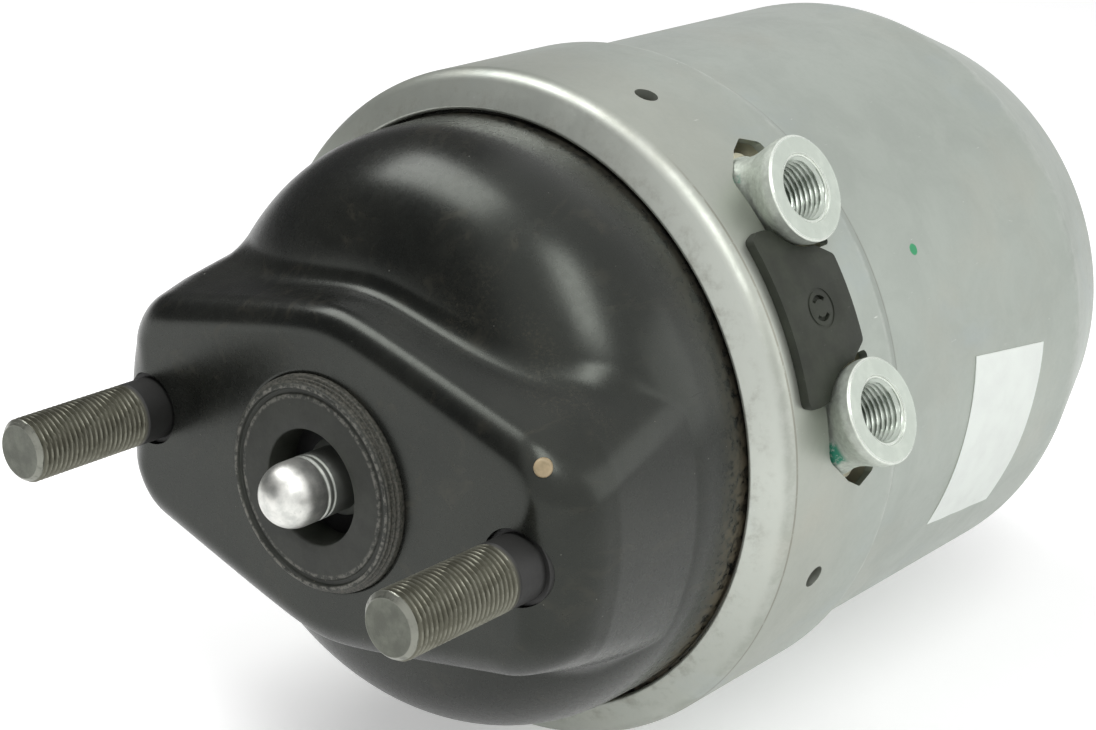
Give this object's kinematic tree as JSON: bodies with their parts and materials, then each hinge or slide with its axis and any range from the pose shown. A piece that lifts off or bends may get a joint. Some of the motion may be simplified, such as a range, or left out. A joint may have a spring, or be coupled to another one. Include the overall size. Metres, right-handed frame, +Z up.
{
  "type": "combined service and spring brake cylinder",
  "caption": "Air brake cylinder for a disc brake, with pressed mounting ears, ball-ended push rod, air ports, rolled outer can and spring brake release bolt.",
  "frame": {"origin": "centre of the front mounting face, on the push rod axis", "axes": "+Y to the rear of the cylinder, along the push rod axis; the mounting studs lie on X; +Z up"},
  "size_m": [0.1896, 0.306, 0.1766],
  "materials": {
    "housing_paint": "semi-gloss black coating on deep drawn steel",
    "plug_plastic": "light plastic",
    "stud_steel": "dark phosphated steel thread",
    "seal_rubber": "dark grey rubber",
    "rod_steel": "turned steel",
    "plated_steel": "plated steel",
    "bellows_rubber": "black rubber",
    "spring_steel": "coated spring steel",
    "diaphragm_rubber": "black rubber with fabric",
    "can_aluminium": "satin pressed aluminium",
    "cast_aluminium": "die-cast aluminium",
    "port_aluminium": "cast, machined face and thread",
    "o_ring_rubber": "black rubber",
    "retainer_plastic": "dark grey plastic",
    "bush_plastic": "bearing plastic",
    "label_paper": "white paper, left bare"
  },
  "bodies": {
    "cylinder": {"front_housing": "housing_paint", "drain_plug": "plug_plastic", "mounting_studs": "stud_steel", "seal_ring": "seal_rubber", "rod_bellows": "bellows_rubber", "return_spring": "spring_steel", "diaphragm": "diaphragm_rubber", "outer_can": "can_aluminium", "flange_body": "cast_aluminium", "service_port": "port_aluminium", "spring_port": "port_aluminium", "port_seals": "o_ring_rubber", "port_retainer": "retainer_plastic", "guide_bush": "bush_plastic", "rod_seals": "o_ring_rubber", "flange_o_ring": "o_ring_rubber", "power_spring": "spring_steel", "release_nut": "plated_steel", "paper_label": "label_paper"},
    "push_rod": {"push_rod": "rod_steel", "push_plate": "plated_steel"},
    "spring_piston": {"spring_piston": "cast_aluminium", "piston_seal": "o_ring_rubber", "piston_guide_ring": "bush_plastic", "piston_tube": "rod_steel", "tube_end_cap": "plated_steel", "tube_seal": "o_ring_rubber", "tube_collar": "plated_steel"},
    "release_thrust": {"thrust_washer": "plated_steel"},
    "release_bolt": {"release_bolt": "plated_steel", "bolt_end_nut": "plated_steel"}
  },
  "joints": [
    {"name": "spring_piston_slide", "type": "slide", "parent": "cylinder", "child": "spring_piston", "axis": [0, -1, 0], "range_m": [0, 0.05], "deforming": ["power_spring", "diaphragm"]},
    {"name": "push_rod_slide", "type": "slide", "parent": "cylinder", "child": "push_rod", "axis": [0, -1, 0], "range_m": [0, 0.05], "deforming": ["return_spring", "rod_bellows", "diaphragm"]},
    {"name": "release_bolt_travel", "type": "slide", "parent": "cylinder", "child": "release_thrust", "axis": [0, 1, 0], "range_m": [0, 0.05]},
    {"name": "release_bolt_turn", "type": "hinge", "parent": "release_thrust", "child": "release_bolt", "pos_m": [0, 0.25, 0], "axis": [0, 1, 0], "range_deg": [0, 9000]}
  ],
  "couplings": [
    {"joint": "push_rod_slide", "follows": "spring_piston_slide", "ratio": 1},
    {"joint": "release_bolt_turn", "follows": "release_bolt_travel", "rad_per_m": 3141.6}
  ]
}
